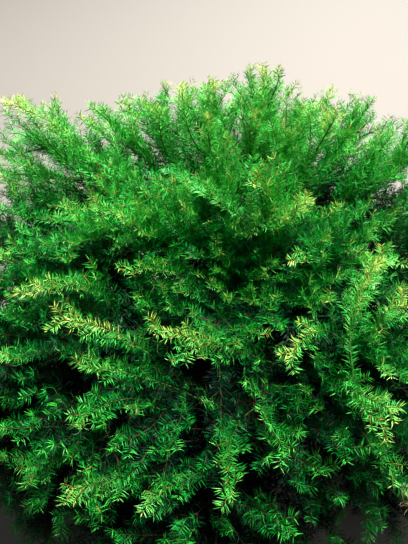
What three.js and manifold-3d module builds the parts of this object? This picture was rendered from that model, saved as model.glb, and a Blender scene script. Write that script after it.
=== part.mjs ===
// Spreading garden yew in a plain clay pot: pot, potting mix, short stem, boughs and sprays of needles.
// Millimetres, +Z up. The origin is the centre of the pot's underside, and the front is towards -Y.
import * as THREE from 'three';
import { mergeVertices } from 'three/addons/utils/BufferGeometryUtils.js';
import Module from 'manifold-3d';

const wasm = await Module();
wasm.setup();

// Pot and what fills it
const POT_HEIGHT = 290;
const POT_FOOT_RADIUS = 128;
const POT_RIM_RADIUS = 190;
const POT_WALL = 13;
const POT_FLOOR = 18;
const RIM_BAND_HEIGHT = 46;
const RIM_BAND_PROUD = 9;
const RIM_ROUNDING = 4;
const POT_SIDES = 24;
const DRAIN_HOLES = 3;
const DRAIN_RADIUS = 9;
const DRAIN_CIRCLE = 62;
const DRAIN_SIDES = 8;
const MIX_BELOW_RIM = 28;
const MIX_DIP = 8;
const MIX_FLAT_RADIUS = 70;

// Gap kept between solids that touch in the real plant
const SEAT = 0.3;

// Short stem inside the crown
const STEM_HEIGHT = 150;
const STEM_FOOT_RADIUS = 27;
const STEM_TOP_RADIUS = 19;
const STEM_LEAN_BACK = 7;
const FLARE = 0.55;
const FLARE_HEIGHT = 26;
const FLARE_LOBES = 4;
const FLARE_LOBE_DEPTH = 0.16;
const STEM_SIDES = 12;
const STEM_STEPS = 7;
const STEM_STEP_CROWDING = 1.4;

// Rings of limbs. Each limb runs from the stem to a tip on its ring: reach is the ring's radius, wide is
// how much wider it is from side to side, back is how far it lies towards the back, and rise is how much
// higher its back is. A limb leaves the stem at a share of its height, is a bare bough for its first
// share, and arches by a height at its middle.
const RINGS = [
  { name: 'skirt', count: 6, first: 272, reach: 490, wide: 1.1, back: -30, height: 140, rise: 15,
    arch: 180, leaves: 0.22, bough: 0.42, sprays: 6 },
  { name: 'side', count: 7, first: 264, reach: 545, wide: 1.08, back: 0, height: 325, rise: 45,
    arch: 95, leaves: 0.37, bough: 0.34, sprays: 6 },
  { name: 'shoulder', count: 6, first: 235, reach: 535, wide: 1.06, back: 20, height: 540, rise: 115,
    arch: 60, leaves: 0.53, bough: 0.32, sprays: 6 },
  { name: 'leader_left', count: 1, first: 151, reach: 595, wide: 1, back: 0, height: 715, rise: 0,
    arch: 10, leaves: 0.68, bough: 0.36, sprays: 7 },
  { name: 'leader_back', count: 1, first: 80, reach: 390, wide: 1, back: 0, height: 765, rise: 0,
    arch: 10, leaves: 0.68, bough: 0.36, sprays: 6 },
  { name: 'leader_right', count: 1, first: 30, reach: 530, wide: 1, back: 0, height: 700, rise: 0,
    arch: 10, leaves: 0.68, bough: 0.36, sprays: 6 },
  { name: 'upper', count: 5, first: 330, reach: 290, wide: 1, back: 90, height: 635, rise: 115,
    arch: 30, leaves: 0.84, bough: 0.3, sprays: 6 },
  { name: 'heart', count: 3, first: 20, reach: 150, wide: 1, back: 30, height: 560, rise: 50,
    arch: 0, leaves: 1, bough: 0, sprays: 5 },
];
const HEART_SEAT_RADIUS = 9;
// The crown reaches further out on one side, to the front left
const LONG_SIDE = 220;
const LONG_SIDE_SHARE = 0.15;
const NUMBERS_A_RING = 16;

// Boughs
const BOUGH_ROOT_RADIUS = 8;
const BOUGH_TIP_RADIUS = 5;
const BOUGH_SIDES = 5;
const BOUGH_STEPS = 2;

// Sprays of needles: a three-sided core whose sides are drawn out into needles, larger than life
const CORE_ROOT_RADIUS = 4.4;
const CORE_TIP_RADIUS = 1.7;
const SIDE_CORE_SHARE = 0.8;
const LAST_NEEDLE = 0.94;
const NEEDLE_LENGTH = 50;
const NEEDLE_TIP_SHARE = 0.72;
const NEEDLE_FORWARD = 52;
const RIDGE_ANGLES = [330, 90, 210];
const ROWS = 2;
const ROOT_SHARE = 0.1;
const STEM_SPRAY_STEPS = 6;
const STEM_SPRAY_BARE = 2;
const SIDE_SPRAY_STEPS = 4;

// How side sprays stand on a mass's own stem
const FIRST_STATION = 0.07;
const LAST_STATION = 0.86;
const SPRAY_ANGLE = 50;
const SPRAY_ANGLE_SPREAD = 9;
const SPRAY_SHARE_ROOT = 0.66;
const SPRAY_SHARE_TIP = 0.36;
const ROLLS = [0, 50, -35];
const ROLL_SPREAD = 14;
const SPRAY_SWEEP = 0.18;
const SHORTER = [1, 0.85, 0.7, 0.56, 0.44];
const TURNS = [0, 30, -30];
const MOST_BARE = 0.34;

// Space that a spray keeps from other masses, limbs, the pot and the ground
const SPACE_MARGIN = 5;
const LIMB_MARGIN = 4;
const POT_MARGIN = 6;
const GROUND_MARGIN = 24;
const TEST_STEP = 9;
const CROWN_CENTRE = new THREE.Vector3(0, 0, 330);
const TIP_MARGIN = 22;
const CROWN_BLEND = 14;
const TIP_BLEND = 40;
const SEED = 20417;
const SEED_STEP = 7919;
const LIMB_SAMPLES = 8;

const PALETTE = {
  pot: { color: 0xb5663f, roughness: 0.82 },
  mix: { color: 0x3a2a1d, roughness: 1 },
  bark: { color: 0x6b4a30, roughness: 0.9 },
  skirt: { color: 0x14401f, roughness: 0.62 },
  side: { color: 0x1d5627, roughness: 0.6 },
  shoulder: { color: 0x2b6f2c, roughness: 0.58 },
  upper: { color: 0x3b8433, roughness: 0.56 },
  leader: { color: 0x6d9a3a, roughness: 0.56 },
  heart: { color: 0x1f5b2a, roughness: 0.6 },
};

const UP = new THREE.Vector3(0, 0, 1);
const radians = THREE.MathUtils.degToRad;
const mix = THREE.MathUtils.lerp;

// Random numbers in 0 to 1 from one seed, the same on every run
function randomFrom(seed) {
  let state = seed >>> 0;
  return () => {
    state = (Math.imul(state, 1664525) + 1013904223) >>> 0;
    return state / 4294967296;
  };
}

function material(name) {
  return new THREE.MeshStandardMaterial({ ...PALETTE[name], metalness: 0 });
}

function solid(geometry) {
  const bare = new THREE.BufferGeometry();
  bare.setAttribute('position', geometry.getAttribute('position'));
  if (geometry.index) bare.setIndex(geometry.index);
  const merged = mergeVertices(bare);
  const data = { numProp: 3, vertProperties: new Float32Array(merged.getAttribute('position').array),
    triVerts: new Uint32Array(merged.index.array) };
  return new wasm.Manifold(new wasm.Mesh(data));
}

function geometryOf(body) {
  const mesh = body.getMesh();
  const geometry = new THREE.BufferGeometry();
  geometry.setAttribute('position', new THREE.BufferAttribute(new Float32Array(mesh.vertProperties), 3));
  geometry.setIndex(new THREE.BufferAttribute(new Uint32Array(mesh.triVerts), 1));
  geometry.computeVertexNormals();
  return geometry;
}

function lathe(outline, sides) {
  const geometry = new THREE.LatheGeometry(outline.map(([r, z]) => new THREE.Vector2(r, z)), sides);
  return geometry.rotateX(Math.PI / 2);
}

// A closed skin over rings of points. Where a side has a needle, the side is drawn out to its point.
function skin(rings, needles, point) {
  const sides = rings[0].length;
  const positions = [];
  const face = (...corners) => corners.forEach((corner) => positions.push(corner.x, corner.y, corner.z));
  for (let step = 0; step + 1 < rings.length; step += 1) {
    for (let side = 0; side < sides; side += 1) {
      const next = (side + 1) % sides;
      const corners = [rings[step][side], rings[step][next], rings[step + 1][next], rings[step + 1][side]];
      const needle = needles && needles[step] && needles[step][side];
      if (needle) corners.forEach((corner, k) => face(corner, corners[(k + 1) % 4], needle));
      else {
        face(corners[0], corners[1], corners[2]);
        face(corners[0], corners[2], corners[3]);
      }
    }
  }
  const last = rings[rings.length - 1];
  for (let side = 1; side + 1 < sides; side += 1) face(rings[0][0], rings[0][side + 1], rings[0][side]);
  for (let side = 0; side < sides && point; side += 1) face(last[side], last[(side + 1) % sides], point);
  for (let side = 1; side + 1 < sides && !point; side += 1) face(last[0], last[side], last[side + 1]);
  const geometry = new THREE.BufferGeometry();
  geometry.setAttribute('position', new THREE.BufferAttribute(new Float32Array(positions), 3));
  return geometry;
}

// Two directions across a curve's tangent: the second is as near to the given one as it can be
function across(tangent, wanted) {
  const second = wanted.clone().addScaledVector(tangent, -wanted.dot(tangent)).normalize();
  return [new THREE.Vector3().crossVectors(second, tangent), second];
}

function ringAround(centre, tangent, wanted, radius, angles) {
  const [first, second] = across(tangent, wanted);
  return angles.map((angle) => {
    const r = typeof radius === 'function' ? radius(angle) : radius;
    return centre.clone().addScaledVector(first, r * Math.cos(radians(angle)))
      .addScaledVector(second, r * Math.sin(radians(angle)));
  });
}

const evenAngles = (sides) => Array.from({ length: sides }, (_, side) => (360 / sides) * side);

// A stretch of a curve from one share of its length parameter to another
function stretch(curve, from, to) {
  return { at: (t) => curve.getPoint(mix(from, to, t)), along: (t) => curve.getTangent(mix(from, to, t)) };
}

// Radius of the pot's sloping outside at a height
const slope = (z) => mix(POT_FOOT_RADIUS, POT_RIM_RADIUS - RIM_BAND_PROUD, z / POT_HEIGHT);

function potSolid() {
  const band = POT_HEIGHT - RIM_BAND_HEIGHT;
  const outline = [
    [0, 0], [POT_FOOT_RADIUS - RIM_ROUNDING, 0], [slope(RIM_ROUNDING), RIM_ROUNDING], [slope(band), band],
    [POT_RIM_RADIUS, band + RIM_ROUNDING], [POT_RIM_RADIUS, POT_HEIGHT - RIM_ROUNDING],
    [POT_RIM_RADIUS - RIM_ROUNDING, POT_HEIGHT], [slope(POT_HEIGHT) - POT_WALL, POT_HEIGHT],
    [slope(POT_FLOOR) - POT_WALL, POT_FLOOR], [0, POT_FLOOR],
  ];
  let pot = solid(lathe(outline, POT_SIDES));
  for (let hole = 0; hole < DRAIN_HOLES; hole += 1) {
    const drill = new THREE.CylinderGeometry(DRAIN_RADIUS, DRAIN_RADIUS, 3 * POT_FLOOR, DRAIN_SIDES);
    drill.rotateX(Math.PI / 2);
    const angle = (2 * Math.PI * hole) / DRAIN_HOLES;
    drill.translate(DRAIN_CIRCLE * Math.cos(angle), DRAIN_CIRCLE * Math.sin(angle), 0);
    pot = pot.subtract(solid(drill));
  }
  return geometryOf(pot);
}

const MIX_TOP = POT_HEIGHT - MIX_BELOW_RIM;

function mixSolid() {
  const wall = (z) => slope(z) - POT_WALL - SEAT / Math.cos(Math.PI / POT_SIDES);
  const bottom = POT_FLOOR + SEAT;
  return lathe([
    [0, bottom], [wall(bottom), bottom], [wall(MIX_TOP - MIX_DIP), MIX_TOP - MIX_DIP],
    [MIX_FLAT_RADIUS, MIX_TOP], [0, MIX_TOP],
  ], POT_SIDES);
}

const stemLine = new THREE.LineCurve3(new THREE.Vector3(0, 0, MIX_TOP + SEAT),
  new THREE.Vector3(0, STEM_LEAN_BACK, MIX_TOP + SEAT + STEM_HEIGHT));

// The stem is widest at its root flare, with shallow lobes where the roots leave it
function stemSolid(grown) {
  const rings = [];
  for (let step = 0; step <= STEM_STEPS; step += 1) {
    const t = (step / STEM_STEPS) ** STEM_STEP_CROWDING;
    const centre = stemLine.getPoint(t);
    const flare = FLARE * Math.max(0, 1 - (t * STEM_HEIGHT) / FLARE_HEIGHT) ** 2;
    const radius = (angle) => mix(STEM_FOOT_RADIUS, STEM_TOP_RADIUS, t)
      * (1 + flare * (1 + FLARE_LOBE_DEPTH * Math.cos(radians(angle * FLARE_LOBES)))) + grown;
    rings.push(ringAround(centre, UP, new THREE.Vector3(0, 1, 0), radius, evenAngles(STEM_SIDES)));
  }
  const top = rings[rings.length - 1];
  top.forEach((corner) => corner.setZ(corner.z + grown));
  return skin(rings);
}

// Where each limb starts, passes and ends, as one curve from inside the stem to the tip of its mass
function limbs() {
  return RINGS.flatMap((ring, ringNumber) => Array.from({ length: ring.count }, (_, k) => {
    const azimuth = radians(ring.first + (360 / ring.count) * k);
    const outward = new THREE.Vector3(Math.cos(azimuth), Math.sin(azimuth), 0);
    const upright = ring.bough === 0;
    const start = stemLine.getPoint(ring.leaves);
    if (upright) start.addScaledVector(outward, HEART_SEAT_RADIUS).setZ(start.z + SEAT);
    const towardsLongSide = Math.max(0, Math.cos(azimuth - radians(LONG_SIDE))) ** 2;
    const tip = outward.clone().multiplyScalar(ring.reach * (1 + LONG_SIDE_SHARE * towardsLongSide));
    tip.x *= ring.wide;
    tip.y += ring.back;
    tip.z = ring.height + ring.rise * Math.sin(azimuth);
    const via = start.clone().lerp(tip, 0.5);
    via.z += ring.arch;
    if (upright) via.copy(start).addScaledVector(UP, (tip.z - start.z) / 2);
    const curve = new THREE.QuadraticBezierCurve3(start, via, tip);
    const length = curve.getLength() * (1 - ring.bough);
    const root = upright ? 0 : ring.bough + (SEAT / length) * (1 - ring.bough);
    return {
      name: ring.count > 1 ? `${ring.name}_${k + 1}` : ring.name,
      tone: ring.name.split('_')[0],
      number: ringNumber * NUMBERS_A_RING + k,
      bough: upright ? null : stretch(curve, 0, ring.bough),
      stem: stretch(curve, root, 1),
      length,
      sprays: ring.sprays,
      upright,
    };
  }));
}

function boughSolid(limb, stemGrown) {
  const rings = [];
  for (let step = 0; step <= BOUGH_STEPS; step += 1) {
    const t = step / BOUGH_STEPS;
    rings.push(ringAround(limb.bough.at(t), limb.bough.along(t), UP,
      mix(BOUGH_ROOT_RADIUS, BOUGH_TIP_RADIUS, t), evenAngles(BOUGH_SIDES)));
  }
  return geometryOf(solid(skin(rings)).subtract(stemGrown));
}

// One spray of needles along a line. Its root is bare, a row of needles stands out and up on each side,
// and a needle that would leave the mass's own space is skipped.
function spray(line, wanted, steps, bareSteps, coreRadius, fits) {
  const stations = [0];
  for (let step = 0; step <= steps; step += 1) stations.push(mix(ROOT_SHARE, LAST_NEEDLE, step / steps));
  const rings = stations.map((t) => ringAround(line.at(t), line.along(t), wanted,
    mix(coreRadius, CORE_TIP_RADIUS, t), RIDGE_ANGLES));
  let skipped = 0;
  const needles = stations.slice(1).map((t, step) => {
    if (step <= bareSteps) return null;
    const [first, second] = across(line.along(t), wanted);
    const length = NEEDLE_LENGTH * mix(1, NEEDLE_TIP_SHARE, t);
    return RIDGE_ANGLES.slice(0, ROWS).map((angle) => {
      const middle = radians(angle + 180 / RIDGE_ANGLES.length);
      const direction = line.along(t).multiplyScalar(Math.sin(radians(NEEDLE_FORWARD)))
        .addScaledVector(first, Math.cos(middle) * Math.cos(radians(NEEDLE_FORWARD)))
        .addScaledVector(second, Math.sin(middle) * Math.cos(radians(NEEDLE_FORWARD)));
      const reach = [TEST_STEP];
      while (reach[0] + TEST_STEP < length) reach.unshift(reach[0] + TEST_STEP);
      const needle = line.at(t).addScaledVector(direction, length);
      const alongIt = (far) => line.at(t).addScaledVector(direction, far);
      if (fits(needle) && reach.every((far) => fits(alongIt(far)))) return needle;
      skipped += 1;
      return null;
    });
  });
  const point = line.at(1);
  const coreFits = () => stations.every((t) => fits(line.at(t)) && fits(line.at((t + 1) / 2)));
  return { geometry: skin(rings, needles, point), fits: coreFits, bare: skipped / (ROWS * steps) };
}

function distanceToLine(point, samples) {
  let nearest = Infinity;
  const leg = new THREE.Vector3();
  const offset = new THREE.Vector3();
  for (let k = 0; k + 1 < samples.length; k += 1) {
    leg.subVectors(samples[k + 1], samples[k]);
    offset.subVectors(point, samples[k]);
    const t = THREE.MathUtils.clamp(offset.dot(leg) / leg.lengthSq(), 0, 1);
    nearest = Math.min(nearest, offset.addScaledVector(leg, -t).length());
  }
  return nearest;
}

const samplesOf = (line, count) => Array.from({ length: count + 1 }, (_, k) => line.at(k / count));

// How far the crown reaches from its centre in a point's direction: a blend of the tips of all masses,
// drawn out to a mass's own tip near it
function crownReach(point, limb, all) {
  const direction = point.clone().sub(CROWN_CENTRE).normalize();
  const nearness = (other, sharpness) => Math.exp(sharpness * (direction.dot(other.tipDirection) - 1));
  let weights = 0;
  let reach = 0;
  all.forEach((other) => {
    const weight = nearness(other, CROWN_BLEND);
    weights += weight;
    reach += weight * other.tipReach;
  });
  return mix(reach / weights, limb.tipReach, nearness(limb, TIP_BLEND));
}

// True where a point is nearer to this limb's own stem than to any other, clear of boughs, pot and ground
function staysInSpace(point, limb, all) {
  if (point.z < GROUND_MARGIN) return false;
  const overPot = Math.hypot(point.x, point.y) < POT_RIM_RADIUS + POT_MARGIN;
  if (overPot && point.z < POT_HEIGHT + POT_MARGIN) return false;
  if (distanceToLine(point, trunkSamples) < STEM_FOOT_RADIUS + LIMB_MARGIN) return false;
  if (point.distanceTo(CROWN_CENTRE) > crownReach(point, limb, all) + TIP_MARGIN) return false;
  const own = distanceToLine(point, limb.stemSamples);
  return all.every((other) => {
    if (other.boughSamples && distanceToLine(point, other.boughSamples) < BOUGH_ROOT_RADIUS + LIMB_MARGIN) {
      return false;
    }
    return other === limb || distanceToLine(point, other.stemSamples) > own + 2 * SPACE_MARGIN;
  });
}

const trunkSamples = [stemLine.getPoint(0), stemLine.getPoint(1)];

// A side spray leaves its parent at an angle and sweeps a little back towards the parent's direction
function sideLine(start, heading, parentDirection, length) {
  const end = start.clone().addScaledVector(heading, length * (1 - SPRAY_SWEEP))
    .addScaledVector(parentDirection, length * SPRAY_SWEEP);
  const via = start.clone().addScaledVector(heading, length / 2);
  return stretch(new THREE.QuadraticBezierCurve3(start, via, end), 0, 1);
}

// One mass of foliage: the limb's own stem with needles, and side sprays by a seeded rule
function massSolid(limb, all) {
  const random = randomFrom(SEED + limb.number * SEED_STEP);
  const spread = (width) => (random() * 2 - 1) * width;
  const fan = limb.upright ? new THREE.Vector3(0, 1, 0) : UP;
  const fits = (point) => staysInSpace(point, limb, all);
  let mass = solid(spray(limb.stem, fan, STEM_SPRAY_STEPS, STEM_SPRAY_BARE, CORE_ROOT_RADIUS, fits).geometry);
  for (let k = 0; k < limb.sprays; k += 1) {
    const t = mix(FIRST_STATION, LAST_STATION, k / (limb.sprays - 1));
    const parent = limb.stem.along(t);
    const [first, second] = across(parent, fan);
    const side = k % 2 ? 1 : -1;
    const roll = ROLLS[k % ROLLS.length] + spread(ROLL_SPREAD);
    const angle = radians(SPRAY_ANGLE + spread(SPRAY_ANGLE_SPREAD));
    const full = limb.length * mix(SPRAY_SHARE_ROOT, SPRAY_SHARE_TIP, t);
    const tries = SHORTER.flatMap((share) => TURNS.map((turn) => [share, radians(roll + turn)]));
    for (const [share, turned] of tries) {
      const heading = parent.clone().multiplyScalar(Math.cos(angle))
        .addScaledVector(first, side * Math.cos(turned) * Math.sin(angle))
        .addScaledVector(second, Math.sin(turned) * Math.sin(angle));
      const line = sideLine(limb.stem.at(t), heading, parent, full * share);
      const facing = line.at(0.5).sub(CROWN_CENTRE).normalize().add(UP);
      const twig = spray(line, facing, SIDE_SPRAY_STEPS, 0, CORE_ROOT_RADIUS * SIDE_CORE_SHARE, fits);
      if (twig.bare <= MOST_BARE && twig.fits()) {
        mass = mass.add(solid(twig.geometry));
        break;
      }
    }
  }
  return geometryOf(mass);
}

function mesh(name, geometry, tone) {
  const piece = new THREE.Mesh(geometry, material(tone));
  piece.name = name;
  return piece;
}

function pottedShrub() {
  const group = new THREE.Group();
  const container = new THREE.Group();
  container.add(mesh('pot', potSolid(), 'pot'), mesh('potting_mix', mixSolid(), 'mix'));
  const plant = new THREE.Group();
  plant.add(mesh('stem', stemSolid(0), 'bark'));
  const all = limbs();
  all.forEach((limb) => {
    limb.stemSamples = samplesOf(limb.stem, LIMB_SAMPLES);
    limb.boughSamples = limb.bough && samplesOf(limb.bough, LIMB_SAMPLES);
    limb.tipDirection = limb.stem.at(1).sub(CROWN_CENTRE);
    limb.tipReach = limb.tipDirection.length();
    limb.tipDirection.normalize();
  });
  const stemGrown = solid(stemSolid(SEAT));
  all.forEach((limb) => {
    if (limb.bough) plant.add(mesh(`bough_${limb.name}`, boughSolid(limb, stemGrown), 'bark'));
    plant.add(mesh(`foliage_${limb.name}`, massSolid(limb, all), limb.tone));
  });
  group.add(container, plant);
  return group;
}

const group = pottedShrub();

export default group;
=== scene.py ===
"""Spreading garden yew in a plain clay pot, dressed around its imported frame.

Metres, +Z up. The origin is the centre of the pot's underside, and the front is towards -Y.
"""
from math import atan2, ceil, cos, hypot, pi, radians, sin, sqrt

import bpy
import numpy as np
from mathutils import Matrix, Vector, noise
from numpy.linalg import norm


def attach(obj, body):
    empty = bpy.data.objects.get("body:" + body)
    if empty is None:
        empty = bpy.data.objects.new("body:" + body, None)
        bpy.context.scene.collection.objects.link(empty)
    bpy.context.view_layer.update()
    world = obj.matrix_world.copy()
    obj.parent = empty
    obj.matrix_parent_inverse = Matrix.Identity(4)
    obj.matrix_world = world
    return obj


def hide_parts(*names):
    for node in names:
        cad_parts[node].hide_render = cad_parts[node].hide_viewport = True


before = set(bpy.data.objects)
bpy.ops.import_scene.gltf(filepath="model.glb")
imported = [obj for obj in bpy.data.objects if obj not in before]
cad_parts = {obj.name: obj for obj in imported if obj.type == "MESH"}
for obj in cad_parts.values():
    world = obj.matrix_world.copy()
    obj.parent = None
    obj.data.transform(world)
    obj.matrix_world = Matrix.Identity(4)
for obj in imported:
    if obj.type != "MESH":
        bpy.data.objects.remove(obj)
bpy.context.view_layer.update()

# Camera: it stands in front of the shrub near eye height and looks down on it, as the photographer did.
# Its lens is given by its focal length in pixels of the 408 pixels wide picture.
PICTURE_WIDTH = 408
FOCAL_PIXELS = 690
SENSOR_WIDTH = 36
CAMERA_PLACE = (-0.0812, -1.1436, 1.4485)
CAMERA_DOWN = 40


def add_object(name, data):
    """Puts an object with its data into the scene."""
    made = bpy.data.objects.new(name, data)
    bpy.context.scene.collection.objects.link(made)
    return made


lens = bpy.data.cameras.new("camera")
lens.sensor_fit = "HORIZONTAL"
lens.sensor_width = SENSOR_WIDTH
lens.lens = FOCAL_PIXELS / PICTURE_WIDTH * SENSOR_WIDTH
camera = add_object("camera", lens)
camera.location = CAMERA_PLACE
camera.rotation_euler = (radians(90 - CAMERA_DOWN), 0, 0)
bpy.context.scene.camera = camera
bpy.context.scene.view_settings.view_transform = "Standard"

# Pot: a plain round pot of fired, unglazed terracotta, thrown on a wheel, with a thick band under its
# lip and three drain holes cut through its floor. It stands loose on the ground and carries the shrub.
POT_HEIGHT = 0.290
POT_FOOT_RADIUS = 0.128
POT_RIM_RADIUS = 0.190
POT_WALL = 0.013
POT_FLOOR = 0.018
BAND_HEIGHT = 0.046
BAND_PROUD = 0.009
BAND_CREASE = 0.001
LIP_ROUNDING = 0.004
POT_SIDES = 96


def pot_slope(height):
    """Radius of the pot's sloping outside at a height."""
    share = height / POT_HEIGHT
    return POT_FOOT_RADIUS + (POT_RIM_RADIUS - BAND_PROUD - POT_FOOT_RADIUS) * share


def drawn_up(name, rings):
    """A closed round piece, drawn up from its first ring of a radius and a height through the others."""
    radius, height = rings[0]
    bpy.ops.mesh.primitive_circle_add(
        vertices=POT_SIDES, radius=radius, fill_type="NGON", location=(0, 0, height))
    piece = bpy.context.object
    piece.name = name
    bpy.ops.object.transform_apply(location=True)
    bpy.ops.object.mode_set(mode="EDIT")
    bpy.ops.mesh.select_all(action="SELECT")
    for wide, high in rings[1:]:
        scale = wide / radius
        bpy.ops.mesh.extrude_region_move(TRANSFORM_OT_translate={"value": (0, 0, high - height)})
        bpy.ops.transform.resize(value=(scale, scale, 1), center_override=(0, 0, high))
        radius, height = wide, high
    bpy.ops.mesh.select_all(action="SELECT")
    bpy.ops.mesh.normals_make_consistent(inside=False)
    bpy.ops.object.mode_set(mode="OBJECT")
    return piece


def apply_modifier(piece, kind, **settings):
    """Adds a modifier to a piece, with its settings, and applies it."""
    bpy.ops.object.select_all(action="DESELECT")
    piece.select_set(True)
    bpy.context.view_layer.objects.active = piece
    modifier = piece.modifiers.new(kind.lower(), kind)
    for name, value in settings.items():
        setattr(modifier, name, value)
    bpy.ops.object.modifier_apply(modifier=modifier.name)


band_foot = POT_HEIGHT - BAND_HEIGHT
pot = drawn_up("clay_pot", (
    (POT_FOOT_RADIUS - LIP_ROUNDING, 0),
    (pot_slope(LIP_ROUNDING), LIP_ROUNDING),
    (pot_slope(band_foot) - BAND_CREASE, band_foot - LIP_ROUNDING),
    (pot_slope(band_foot), band_foot),
    (POT_RIM_RADIUS, band_foot + LIP_ROUNDING),
    (POT_RIM_RADIUS, POT_HEIGHT - LIP_ROUNDING),
    (POT_RIM_RADIUS - LIP_ROUNDING, POT_HEIGHT),
    (pot_slope(POT_HEIGHT) - POT_WALL, POT_HEIGHT),
    (pot_slope(POT_FLOOR) - POT_WALL, POT_FLOOR),
))
apply_modifier(pot, "BEVEL", width=0.0025, segments=3, limit_method="ANGLE", angle_limit=radians(25))

DRAIN_HOLES = 3
DRAIN_RADIUS = 0.009
DRAIN_CIRCLE = 0.062
for hole in range(DRAIN_HOLES):
    angle = 2 * pi * hole / DRAIN_HOLES
    bpy.ops.mesh.primitive_cylinder_add(
        vertices=32, radius=DRAIN_RADIUS, depth=4 * POT_FLOOR,
        location=(DRAIN_CIRCLE * cos(angle), DRAIN_CIRCLE * sin(angle), 0))
    drill = bpy.context.object
    apply_modifier(pot, "BOOLEAN", operation="DIFFERENCE", object=drill, solver="EXACT")
    bpy.data.objects.remove(drill)
bpy.ops.object.shade_smooth_by_angle(angle=radians(35))


def new_material(name, roughness):
    """A material, its shader, a function that adds a node and joins it, and one that joins sockets."""
    made = bpy.data.materials.new(name)
    made.use_nodes = True
    tree = made.node_tree
    shader = tree.nodes["Principled BSDF"]
    shader.inputs["Roughness"].default_value = roughness

    def add(kind, joins=(), **settings):
        node = tree.nodes.new("ShaderNode" + kind)
        for key, value in settings.items():
            if key in node.inputs:
                node.inputs[key].default_value = value
            else:
                setattr(node, key, value)
        for output, socket in joins:
            tree.links.new(output, node.inputs[socket])
        return node

    return made, shader, add, tree.links.new


def linear(red, green, blue):
    """A screen colour, 0 to 255 a channel, as the linear colour that a shader takes."""
    channels = (channel / 255 for channel in (red, green, blue))
    return (*(c / 12.92 if c <= 0.04045 else ((c + 0.055) / 1.055) ** 2.4 for c in channels), 1)


def ramp(add, factor, stops):
    """Adds a colour ramp over a factor, with stops of a share and a screen colour each."""
    node = add("ValToRGB", [(factor, "Fac")])
    elements = node.color_ramp.elements
    while len(elements) < len(stops):
        elements.new(1)
    for element, (place, colour) in zip(elements, stops):
        element.position = place
        element.color = linear(*colour)
    return node.outputs["Color"]


def terracotta():
    """Orange clay with pale lime bloom in patches, a darker damp foot, and fine rings of the wheel."""
    made, shader, add, join = new_material("terracotta", 0.86)
    place = add("TexCoord").outputs["Object"]
    blotch = add("TexNoise", [(place, "Vector")], Scale=7, Detail=6, Roughness=0.62)
    speck = add("TexNoise", [(place, "Vector")], Scale=150, Detail=3)
    body = ramp(add, blotch.outputs["Fac"], (
        (0.30, (152, 86, 56)), (0.48, (178, 104, 70)), (0.60, (193, 121, 86)), (0.74, (205, 150, 120)),
    ))
    height = add("SeparateXYZ", [(place, "Vector")])
    damp = add("MapRange", [(height.outputs["Z"], "Value")],
               **{"From Max": 0.09, "To Min": 0.55, "To Max": 0})
    edge = add("Math", [(damp.outputs["Result"], 0), (blotch.outputs["Fac"], 1)], operation="MULTIPLY")
    dark = add("MixRGB", [(edge.outputs[0], "Fac"), (body, "Color1")], Color2=linear(104, 66, 46))
    freckle = add("MapRange", [(speck.outputs["Fac"], "Value")],
                  **{"From Min": 0.62, "From Max": 0.75, "To Max": 0.4})
    fleck = add("MixRGB", [(freckle.outputs["Result"], "Fac"), (dark.outputs[0], "Color1")],
                Color2=linear(120, 70, 47))
    join(fleck.outputs[0], shader.inputs["Base Color"])
    rings = add("TexWave", [(place, "Vector")], Scale=26, Distortion=1.2, Detail=2, bands_direction="Z")
    wheel = add("Bump", [(rings.outputs["Fac"], "Height")], Strength=0.18, Distance=0.0012)
    grit = add("Bump", [(speck.outputs["Fac"], "Height"), (wheel.outputs[0], "Normal")],
               Strength=0.35, Distance=0.0007)
    join(grit.outputs[0], shader.inputs["Normal"])
    return made


pot.data.materials.clear()
pot.data.materials.append(terracotta())
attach(pot, "root")
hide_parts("pot")

# Potting mix: peat and composted bark that fills the pot to two fingers below its lip, a little lower at
# the clay than at the stem. It is poured in round the roots, and pieces of bark lie loose on top.
SEAT = 0.0003
BELOW_LIP = 0.028
MIX_TOP = POT_HEIGHT - BELOW_LIP
MIX_DIP = 0.008
MIX_CLEARANCE = 0.001
MIX_RING = 0.0135
MIX_RINGS = 12
CRUMBS = ((70, 0.0028), (260, 0.0016))
CHIPS = 420
CHIP_LONG = (0.006, 0.019)
CHIP_WIDE = (0.3, 0.7)
CHIP_THICK = (0.12, 0.25)
CHIP_UNEVEN = (-0.28, 0.2)
CHIP_TILT = 0.25
CHIP_RISE = 0.6
CHIPS_FROM_STEM = 0.048
CHIPS_FROM_CLAY = 0.003

mix_bottom = POT_FLOOR + SEAT
mix_edge = MIX_TOP - MIX_DIP
clearance = POT_WALL + MIX_CLEARANCE
rings = [(pot_slope(height) - clearance, height) for height in (mix_bottom, mix_edge)]
for ring in range(MIX_RINGS):
    share = (ring + 1) / MIX_RINGS
    rings.append((rings[-1][0] - MIX_RING, mix_edge + MIX_DIP * sin(share * pi / 2)))
mix = drawn_up("mix_bed", rings)
apply_modifier(mix, "SUBSURF", subdivision_type="SIMPLE", levels=1, render_levels=1)
for vertex in mix.data.vertices:
    spread = hypot(vertex.co.x, vertex.co.y)
    if vertex.co.z > mix_edge - SEAT and spread < pot_slope(mix_edge) - 2 * clearance:
        vertex.co.z += sum(noise.noise(vertex.co * scale) * size for scale, size in CRUMBS)


def crumbly(name, dark, light, scale, roughness):
    """Moist plant fibre: two tones broken up finely, with a crumbly relief."""
    made, shader, add, join = new_material(name, roughness)
    place = add("TexCoord").outputs["Object"]
    fine = add("TexNoise", [(place, "Vector")], Scale=scale, Detail=8, Roughness=0.7)
    tones = ramp(add, fine.outputs["Fac"], ((0.36, dark), (0.68, light)))
    join(tones, shader.inputs["Base Color"])
    relief = add("Bump", [(fine.outputs["Fac"], "Height")], Strength=0.7, Distance=0.002)
    join(relief.outputs[0], shader.inputs["Normal"])
    return made


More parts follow.
